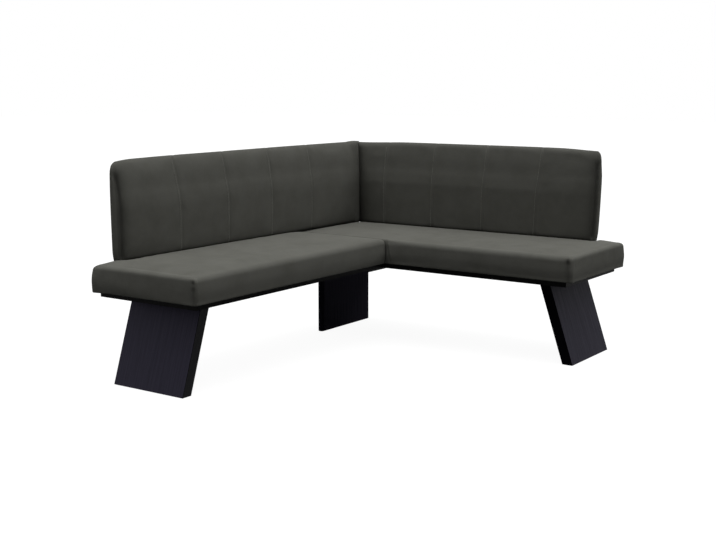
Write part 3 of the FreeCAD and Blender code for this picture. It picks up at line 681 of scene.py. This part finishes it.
# Heights at which the shape is given, and how far the front, the rear and the free end are drawn in there
LEVELS = (0.0, 0.03, 0.10, 0.30, 0.50, 0.62, 0.70, 0.81, 0.87, 0.93, 0.962, 0.985, 1.0)
FRONT_DRAWN = (13.0, 6.0, 3.5, 0.8, 0.4, 4.5, 10.5, 17.0, 22.0, 29.0, 34.0, 39.5, 47.0)
REAR_DRAWN = (2.5, 0.5, 0.0, 0.0, 0.0, 0.0, 0.0, 0.0, 0.0, 1.0, 2.5, 5.0, 10.0)
END_DRAWN = {
    "long": (2.0, -2.0, -4.0, -5.5, -6.5, -6.5, -6.0, -5.0, -4.0, -2.0, 1.0, 6.0, 16.0),
    "short": (12.0, 10.0, 7.0, 1.5, -1.5, -2.5, -2.0, 1.0, 3.0, 4.5, 6.0, 9.0, 17.0),
}
# How far the short backrest gives way to the end of the long one, and the gap that stays between them
CORNER_SINK = 29.0
CORNER_GAP = 7.0
# How far the free end swells out between its seams. Its front seam pulls in by a wide and a narrow valley
# with a dip below the top, and its rear seam by less.
END_SWELL = 5.0
WIDE_VALLEY = 6.0
NARROW_VALLEY = 8.0
TOP_DIP = 2.5
REAR_VALLEY = 2.0
# How far beside a seam its groove and its ridge are, and how deep the groove is compared with its setting
GROOVE_ASIDE = 12.0
RIDGE_ASIDE = 1.0
GROOVE_SHARES = {"long": 1.0, "short": 0.65}
# How far the top edge settles at each seam, and droops towards the free end, slowly and then quickly
SEAM_SETTLES = 1.2
DROOPS = {"long": (5.5, 5.0), "short": (3.5, 0.3)}
DROOP_REACHES = (500.0, 90.0)
# How far the top edge rises between its ends, and over what stretch of the wing
RISES = {"long": (2.6, 500, 1300), "short": (6.0, 100, 330)}
# How far the first seams lean outwards near the top
LEAN_OUT = 16.0
# How much shade is painted into the corner between the backrests, and over what length
CORNER_SHADES = {"long": (0.12, 35.0), "short": (0.95, 60.0)}


def back_grid(wing, cell):
    """A box with a backrest's cells, which are even along its drawn-in front. Returns it with each vertex's
    cell numbers, its place along the wing and through the pad, and its height."""
    end = BACK_LENGTHS[wing]
    u_stops = [BACK_START + place for place in (0, 2.5, 5, 8, 12, 17, 24, 34)]
    for seam in SEAMS[wing]:
        u_stops += [seam + place for place in (-18, -13, -9, -5, -2, 0, 2, 5, 9, 13, 18)]
    if wing == "short":
        u_stops += [1350, 1362, 1372, 1380, 1386, LONG_FRONT_ON_SHORT, 1396]
    u_stops += [end - place for place in (44, 34, 26, 19, 13, 8, 5, 2.5, 0)]
    v_places = spaced((0, 2.5, 5, 8, 12, 20, 30, 40, 50, 55, 58, 60), 6.0)
    levels = spaced((0.0, 0.015, 0.04, 0.10, 0.55, 0.85, 1.0), 0.028)
    fine = np.linspace(0, 1, 400)
    steps = np.hypot(np.diff(fine) * (BACK_TOP - BACK_BOTTOM),
                     np.diff(curve_through(LEVELS, FRONT_DRAWN, fine)))
    path = np.concatenate(([0], np.cumsum(steps)))
    h_rows = np.interp(levels * path[-1], path, fine)
    return grid_box(wing + "_backrest", spaced(u_stops, cell), v_places, h_rows)


def back_outline(wing, u, v, h):
    """Draws a backrest's faces in and out, and rounds its upright edges. Returns the new places along and
    across the wing, how far the front leans back, and how thick the pad is."""
    end = BACK_LENGTHS[wing]
    last_seam = SEAMS[wing][-1]
    deep = v / BACK_THICKNESS
    lean = curve_through(LEVELS, FRONT_DRAWN, h)
    # The further the pad leans back, the less it gives way
    sink = np.clip(32 - lean, 0, CORNER_SINK)
    front = BACK_FRONT + lean
    follow = np.zeros(len(u))
    if wing == "short":
        front = front + sink * beside(LONG_FRONT_ON_SHORT - u, 42)
    else:
        # The inner end follows the short backrest's front, and its edge stands up a little
        follow = lean + sink - CORNER_GAP
        front = front - (4.0 + 0.7 * lean) * smooth_step(u, end - 40, end - 12)
    rear = BACK_FRONT + BACK_THICKNESS - curve_through(LEVELS, REAR_DRAWN, h)
    drawn = curve_through(LEVELS, END_DRAWN[wing], h)
    share = np.clip((u - last_seam) / (end - last_seam), 0, 1)
    new_u = u + drawn * (end - u) / (end - BACK_START) + follow * share ** 2
    new_v = front + (rear - front) * deep
    # The front edges are rounder at the free end than at the inner one, and the rear edges are tight
    at_free = u < (BACK_START + end) / 2
    radius = np.where(deep < 0.5, np.where(at_free, 14.0, 8.0), 5.0)
    new_u, new_v = rounded(new_u, new_v, BACK_START + drawn, end + follow, front, rear,
                           np.minimum(radius, (rear - front) * 0.45))
    return new_u, new_v, lean, rear - front


def sew_back_end(at_end, v, h, from_start, lean, new_u, new_v):
    """Swells the free end between its seams, and pulls the seams in. Returns the new places."""
    # It has small folds near its foot, 13 mm apart
    fold = 1.3 * np.cos(2 * np.pi * v / 13) * np.exp(-h / 0.12) * smooth_step(h, 0.0, 0.03)
    upright = smooth_step(h, 0.0, 0.1) * (1 - smooth_step(h, 0.9, 1.0))
    swell = END_SWELL * np.sin(np.pi * (v / BACK_THICKNESS)) * upright + fold
    new_u = new_u - np.where(at_end, swell, 0.0)
    whole = smooth_step(h, 0.0, 0.04) * (1 - smooth_step(h, 0.955, 0.99))
    reach = from_start ** 2 + v ** 2
    valley = (WIDE_VALLEY * np.exp(-reach / 24 ** 2)
              + (NARROW_VALLEY + TOP_DIP * near(h, 0.93, 0.022)) * np.exp(-reach / 13 ** 2))
    # There is little room in front of the panel where the pad leans back
    front = np.minimum(whole * valley, 1.2 * np.clip(26 - lean, 0, None))
    rear = REAR_VALLEY * whole * np.exp(-(from_start ** 2 + (v - BACK_THICKNESS) ** 2) / 5 ** 2)
    return new_u + front * DIAGONAL + rear * DIAGONAL, new_v + front * DIAGONAL - rear * DIAGONAL


def sew_channels(wing, u, settings):
    """How far the cover of a backrest sinks across its channels, and how much of a groove and of a ridge
    its seams make. At a seam the cover is folded under its stitches, and pulled in beside them."""
    edges = [BACK_START, *SEAMS[wing], BACK_LENGTHS[wing]]
    sunk, groove, ridge = np.zeros((3, len(u)))
    for low, high in zip(edges, edges[1:]):
        place = (u - low) / (high - low)
        sunk = np.where((u >= low) & (u <= high), settings.channel / MM * (2 * place - 1) ** 4, sunk)
    way = -1 if wing == "short" else 1
    for seam in SEAMS[wing]:
        width = settings.seam_width / MM
        groove = groove + near(u, seam + way * GROOVE_ASIDE, width) * GROOVE_SHARES[wing]
        ridge = ridge + near(u, seam + way * RIDGE_ASIDE, 5.5)
    return sunk, groove, ridge


def back_top(wing, u, h, from_start, groove):
    """Heights of a backrest in millimetres, with its top edge drooping, rising and settling."""
    end = BACK_LENGTHS[wing]
    z = BACK_BOTTOM + (BACK_TOP - BACK_BOTTOM) * h
    slow, quick = (amount * np.clip(1 - from_start / reach, 0, 1) ** 2
                   for amount, reach in zip(DROOPS[wing], DROOP_REACHES))
    rise, first, last = RISES[wing]
    arch = rise * smooth_step(u, first, last)
    if wing == "short":
        arch = arch * (1 - smooth_step(u, 1100, 1390))
    z = z + (arch - (slow + quick) - SEAM_SETTLES * groove) * smooth_step(h, 0.5, 1.0)
    if wing == "long":
        z = z + 3.0 * smooth_step(u, end - 60, end - 25) * smooth_step(h, 0.9, 1.0)
    return z


def back_shade(wing, u, v, h, from_start):
    """How much shade is painted on each place: at the free end's seams and its last stretch, in the crease
    on the seat, and in the corner between the backrests.
    """
    # Painted shade at the free end's front seam and along its last stretch, at the backrest's foot, and in
    # the corner
    painted_shade = 0.5 * np.exp(-(from_start / 33) ** 2 - (v / 16) ** 2) * smooth_step(-h, -0.95, -0.84)
    painted_shade = painted_shade + 0.22 * np.exp(-from_start / 90) * (v < 20)
    above = h * (BACK_TOP - BACK_BOTTOM)
    painted_shade = np.maximum(painted_shade, near(np.clip(above - 6, 0, None), 0, 6) * (v < 30))
    away = LONG_FRONT_ON_SHORT + 10 - u if wing == "short" else BACK_LENGTHS[wing] - u
    dark, reach = CORNER_SHADES[wing]
    return np.maximum(painted_shade, dark * beside(away, reach) * smooth_step(-h, -0.85, -0.1) * (v < 30))


def backrest(wing, settings):
    """A tall pad with sewn channels, a soft roll along its top and a boxed free end. Returns the pad and
    the line of each seam, as places along the wing and heights."""
    along_y = wing == "short"
    end = BACK_LENGTHS[wing]
    piece, index, (u, v, h) = back_grid(wing, settings.cell / MM)
    from_start = u - BACK_START
    new_u, new_v, lean, thick = back_outline(wing, u, v, h)
    new_u, new_v = sew_back_end(index[:, 0] == 0, v, h, from_start, lean, new_u, new_v)
    sunk, groove, ridge = sew_channels(wing, u, settings)
    deep = v / BACK_THICKNESS
    face = np.clip(1 - deep * 2, 0, 1) * np.clip(thick / BACK_THICKNESS * 1.4, 0, 1)
    new_v = new_v + (sunk + settings.seam_depth / MM * groove - settings.seam_ridge / MM * ridge) * face
    z = back_top(wing, u, h, from_start, groove)
    lean_out = LEAN_OUT * np.clip(1 - (u - SEAMS[wing][0]) / 600, 0, 1) * smooth_step(h, 0.4, 1.0)
    new_u = new_u - lean_out * smooth_step(u, BACK_START + 20, BACK_START + 160)
    set_places(piece, to_wing(along_y, new_u, new_v, z))
    note_painted_shade(piece, back_shade(wing, u, v, h, from_start))
    # The seams, the foot, the rear, the corner and the top of the free end's front edge stay
    held = np.maximum(np.clip(groove + ridge, 0, 1), (index[:, 2] == 0) | (deep > 0.98))
    held = np.maximum(held, smooth_step(u, *((1300, 1340) if along_y else (end - 30, end - 8))))
    held = np.maximum(held, near(from_start, 0, 30) * smooth_step(h, 0.68, 0.8))
    lines = []
    for seam in SEAMS[wing]:
        on_seam = (np.abs(u - seam) < 0.01) & (index[:, 1] == 0) & (h > 0.03) & (h < 0.96)
        order = np.argsort(z[on_seam])
        lines.append((new_u[on_seam][order], z[on_seam][order]))
    inflate(piece, held, settings.puff)
    finish_mesh(piece)
    return piece, lines


# Stitching

def one_stitch(settings):
    """One stitch: a short round thread that dips into the cover at both ends."""
    thick = settings.stitch_thickness
    bpy.ops.object.select_all(action="DESELECT")
    bpy.ops.mesh.primitive_cube_add(size=1, location=(0, 0, 0))
    stitch = bpy.context.active_object
    bpy.ops.object.mode_set(mode="EDIT")
    bpy.ops.mesh.select_mode(type="EDGE")
    bpy.ops.mesh.select_all(action="SELECT")
    bpy.ops.transform.resize(value=(settings.stitch_length, thick, thick * 0.8))
    select_edges_along(stitch, 0)
    bpy.ops.mesh.subdivide(number_cuts=3)
    select_edges_along(stitch, 0)
    bpy.ops.mesh.bevel(offset=thick * 0.26, segments=1)
    for side in (-1, 1):
        mesh = bmesh.from_edit_mesh(stitch.data)
        bpy.ops.mesh.select_all(action="DESELECT")
        for corner in mesh.verts:
            corner.select = corner.co.x * side > settings.stitch_length * 0.49
        mesh.select_flush(True)
        bmesh.update_edit_mesh(stitch.data)
        bpy.ops.transform.resize(value=(1.0, 0.6, 0.6))
        bpy.ops.transform.translate(value=(0, 0, -thick * 0.75))
    bpy.ops.object.mode_set(mode="OBJECT")
    return stitch


def stitching(wing, pad, lines, settings):
    """Rows of stitches in the seams of a backrest, each laid on the pad's surface."""
    along_y = wing == "short"
    inwards = Vector((1, 0, 0)) if along_y else Vector((0, 1, 0))
    bpy.context.view_layer.update()
    stitch = one_stitch(settings)
    copies = [stitch]
    for us, zs in lines:
        run = np.concatenate(([0], np.cumsum(np.hypot(np.diff(us), np.diff(zs)))))
        for place in np.arange(0, run[-1], settings.stitch_pitch / MM):
            points = []
            for step in (0.0, 2.0):
                u = np.interp(place + step, run, us)
                z = np.interp(place + step, run, zs)
                start = Vector(to_wing(along_y, np.array([u]), np.array([300.0]), np.array([z]))[0])
                hit, where, normal, face = pad.ray_cast(start, inwards)
                if not hit:
                    raise RuntimeError("A stitch found no cover on the " + wing + " backrest")
                points.append((where, normal))
            (where, normal), (onward, unused) = points
            along = (onward - where).normalized()
            side = normal.cross(along).normalized()
            outward = along.cross(side)
            turn = Matrix((along, side, outward)).transposed().to_4x4()
            copy = stitch.copy()
            copy.data = stitch.data.copy()
            copy.data.transform(Matrix.Translation(where + outward * 0.2 * MM) @ turn)
            bpy.context.scene.collection.objects.link(copy)
            copies.append(copy)
    first = copies[1]
    bpy.data.objects.remove(stitch)
    bpy.ops.object.select_all(action="DESELECT")
    for copy in copies[1:]:
        copy.select_set(True)
    bpy.context.view_layer.objects.active = first
    bpy.ops.object.join()
    first.name = wing + "_back_stitching"
    first.data.name = first.name
    finish_mesh(first, 0)
    return first


# Steps

def assign(piece, material):
    piece.data.materials.clear()
    piece.data.materials.append(material)


class CORNERBENCH_OT_seats(bpy.types.Operator):
    """Make the two seat cushions"""
    bl_idname = "cornerbench.seats"
    bl_label = "Seat Cushions"

    def execute(self, context):
        settings = context.scene.bench_upholstery
        cover = leatherette(settings)
        for wing in ("long", "short"):
            piece = seat_cushion(wing, settings)
            assign(piece, cover)
            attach(piece, "root")
            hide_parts(wing + "_seat_cover", wing + "_seat_foam")
        return {"FINISHED"}


class CORNERBENCH_OT_backs(bpy.types.Operator):
    """Make the two backrests with their sewn channels and stitching"""
    bl_idname = "cornerbench.backs"
    bl_label = "Backrests"

    def execute(self, context):
        settings = context.scene.bench_upholstery
        cover = bpy.data.materials["Embossed polyurethane leatherette"]
        yarn = thread(settings)
        for wing in ("long", "short"):
            piece, lines = backrest(wing, settings)
            assign(piece, cover)
            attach(piece, "root")
            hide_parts(wing + "_back_cover", wing + "_back_foam")
            stitches = stitching(wing, piece, lines, settings)
            assign(stitches, yarn)
            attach(stitches, "root")
        return {"FINISHED"}


class CORNERBENCH_OT_finishes(bpy.types.Operator):
    """Give the solids of the frame, the legs and the hardware their finishes"""
    bl_idname = "cornerbench.finishes"
    bl_label = "Frame Finishes"

    def execute(self, context):
        wood = context.scene.bench_wood
        legs = {}
        # The grain follows the legs' slant. Each board's tone and gloss are set apart to paint the light
        # and shade that fall on that leg, as lit and shaded copies of one stain and lacquer.
        slant = math.radians(18.7)
        for node, tone, gloss, turn in (("long_leg", 0.7, 0.16, (0, slant, 0)),
                                        ("short_leg", 1.0, 0.035, (-slant, 0, 0)),
                                        ("corner_leg", 0.9, 0.008, (0, 0, 0))):
            legs[node] = stained_board(frame["nodes"][node], toned(wood.stain_dark, tone),
                                       toned(wood.stain, tone), gloss, turn)
        # Painted shade: the narrow sides keep 0.15 of their colour and lose their reflection
        for node, across in (("long_leg", 1), ("short_leg", 0)):
            paint_side_shade(legs[node], frame["nodes"][node], across, 0.15)
        finishes = {
            # Sprayed lacquer on planed beech: nearly black and satin, with a trace of the wood's figure
            "black_wood": grained("Black lacquered beech", tuple(wood.lacquer_dark), tuple(wood.lacquer),
                                  0.45, (9, 9, 60), 0.15, **{"Specular IOR Level": 0.02}),
            # Baked powder has an orange peel of about 1.5 mm
            "black_steel": grained("Powder coated steel", linear("#0c0c0d"), linear("#191919"), 0.5,
                                   (1.5, 1.5, 1.5), 0.08, detail=1.0, **{"Specular IOR Level": 0.05}),
            # Zinc plating is bright with a slightly yellow and blue cast in patches
            "zinc_steel": grained("Zinc plated steel", linear("#9fa3a6"), linear("#c4c3bb"), 0.32,
                                  (3, 3, 3), 0.03, Metallic=1.0),
            # Pressed wool has no weave, only matted fibres
            "felt": grained("Pressed wool felt", linear("#121212"), linear("#2a2a2a"), 0.9,
                            (1.2, 1.2, 1.2), 0.4, detail=4.0),
            # Planed spruce has straight yellow and brown rings about 3 mm apart
            "frame_wood": grained("Planed spruce", linear("#b08a55"), linear("#d8bd8f"), 0.6,
                                  (90, 90, 3), 0.1),
            # Rotary cut birch shows a wide, pale and cloudy figure
            "plywood": grained("Sanded birch plywood", linear("#b7976a"), linear("#d6c09a"), 0.6,
                               (30, 120, 120), 0.08),
            # Rubber threads in jute and polyester, about 2 mm apart
            "webbing": woven("Woven elastic webbing", linear("#54462f"), linear("#9a8662"), 2.0, 0.85),
            # Spunbond cloth is pressed in a diamond of points, about 1 mm apart and drawn 2 mm apart
            "dust_cloth": woven("Black spunbond cloth", linear("#070707"), linear("#1a1a1a"), 2.0, 0.9),
        }
        for part in frame["record"]["subparts"]:
            node = part["node"]
            material = legs.get(node, finishes.get(part["material_slot"]))
            if material:
                assign(frame["nodes"][node], material)
        return {"FINISHED"}


# Share of the paper's colour that sends light back up to the bench
PAPER_SHARE = 0.35
# The way across the view, in X and Y
LIGHT_ASIDE = (0.62, -0.78)


def seen_ray(tree):
    """1 for rays from the eye, mirrors and glass, so that all three see the same background."""
    path = add_node(tree, "ShaderNodeLightPath").outputs
    first = add_node(tree, "ShaderNodeMath", {"operation": "MAXIMUM"},
                     at0=path["Is Camera Ray"], at1=path["Is Glossy Ray"])
    second = add_node(tree, "ShaderNodeMath", {"operation": "MAXIMUM"},
                      at0=first.outputs["Value"], at1=path["Is Transmission Ray"])
    return second.outputs["Value"]


def floor_material(stage):
    """Matt white paper: it glows to the eye up to white, keeps the bench's soft shadow, and sends little
    light back up, as a sweep that is lit on its own does."""
    material, tree, shader = new_material("Matt white paper", 0.95)
    shader.inputs["Specular IOR Level"].default_value = 0.0
    shader.inputs["Base Color"].default_value = tuple(stage.floor)
    shader.inputs["Emission Color"].default_value = linear("#ffffff")
    shader.inputs["Emission Strength"].default_value = stage.floor_glow
    dim = add_node(tree, "ShaderNodeBsdfDiffuse", {"Color": toned(stage.floor, PAPER_SHARE)})
    mix = add_node(tree, "ShaderNodeMixShader", at0=seen_ray(tree), at1=dim.outputs["BSDF"],
                   at2=shader.outputs["BSDF"])
    output = next(node for node in tree.nodes if node.type == "OUTPUT_MATERIAL")
    tree.links.new(mix.outputs["Shader"], output.inputs["Surface"])
    return material


def set_world(scene, stage):
    world = scene.world or bpy.data.worlds.new("studio")
    scene.world = world
    world.use_nodes = True
    tree = world.node_tree
    tree.nodes.clear()
    light = add_node(tree, "ShaderNodeBackground", {"Color": linear("#ffffff"), "Strength": stage.sky})
    white = add_node(tree, "ShaderNodeBackground", {"Color": linear("#ffffff"), "Strength": 1.0})
    mix = add_node(tree, "ShaderNodeMixShader", at0=seen_ray(tree), at1=light.outputs["Background"],
                   at2=white.outputs["Background"])
    add_node(tree, "ShaderNodeOutputWorld", Surface=mix.outputs["Shader"])


class CORNERBENCH_OT_stage(bpy.types.Operator):
    """Make the floor, the light and the camera"""
    bl_idname = "cornerbench.stage"
    bl_label = "Studio"

    def execute(self, context):
        stage = context.scene.bench_stage
        scene = context.scene
        bpy.ops.object.select_all(action="DESELECT")
        bpy.ops.mesh.primitive_plane_add(size=stage.floor_size, location=(0, 0, 0))
        floor = context.active_object
        floor.name = "floor"
        assign(floor, floor_material(stage))
        set_world(scene, stage)
        # Two broad lights overhead, to the left and the right of the view, so that what faces the camera
        # is darker than what faces either side
        for name, side in (("left_light", stage.aside), ("right_light", -stage.aside)):
            light = bpy.data.lights.new(name, "SUN")
            light.energy = getattr(stage, name)
            light.angle = stage.spread
            lamp = bpy.data.objects.new(name, light)
            scene.collection.objects.link(lamp)
            towards = Vector((0.04 + LIGHT_ASIDE[0] * side, 0.11 + LIGHT_ASIDE[1] * side, -1.0))
            lamp.rotation_euler = towards.to_track_quat("-Z", "Y").to_euler()
        # The camera that fits the photograph
        data = bpy.data.cameras.new("camera")
        camera = bpy.data.objects.new("camera", data)
        scene.collection.objects.link(camera)
        camera.location = (-3.8831, -2.6310, 1.1621)
        camera.rotation_euler = (math.radians(90 - 9.23), 0, math.radians(-55.041))
        data.lens = 57.926
        data.sensor_width = 36.0
        data.clip_end = 200.0
        scene.camera = camera
        scene.view_settings.view_transform = "Standard"
        return {"FINISHED"}


class CORNERBENCH_PT_panel(bpy.types.Panel):
    """Lists the steps that dress the bench"""
    bl_idname = "CORNERBENCH_PT_panel"
    bl_label = "Corner Bench"
    bl_space_type = "VIEW_3D"
    bl_region_type = "UI"
    bl_category = "Bench"

    def draw(self, context):
        column = self.layout.column()
        for step in STEPS:
            column.operator(step.bl_idname)


GROUPS = {
    "bench_upholstery": CornerBenchUpholstery,
    "bench_wood": CornerBenchWood,
    "bench_stage": CornerBenchStage,
}
STEPS = (CORNERBENCH_OT_seats, CORNERBENCH_OT_backs, CORNERBENCH_OT_finishes, CORNERBENCH_OT_stage)


def register():
    for group in (*GROUPS.values(), *STEPS, CORNERBENCH_PT_panel):
        bpy.utils.register_class(group)
    for name, group in GROUPS.items():
        setattr(bpy.types.Scene, name, bpy.props.PointerProperty(type=group))


def unregister():
    for name in GROUPS:
        delattr(bpy.types.Scene, name)
    for group in (CORNERBENCH_PT_panel, *reversed(STEPS), *reversed(GROUPS.values())):
        bpy.utils.unregister_class(group)


def main():
    register()
    bpy.ops.cornerbench.seats()
    bpy.ops.cornerbench.backs()
    bpy.ops.cornerbench.finishes()
    bpy.ops.cornerbench.stage()


if __name__ == "__main__":
    main()
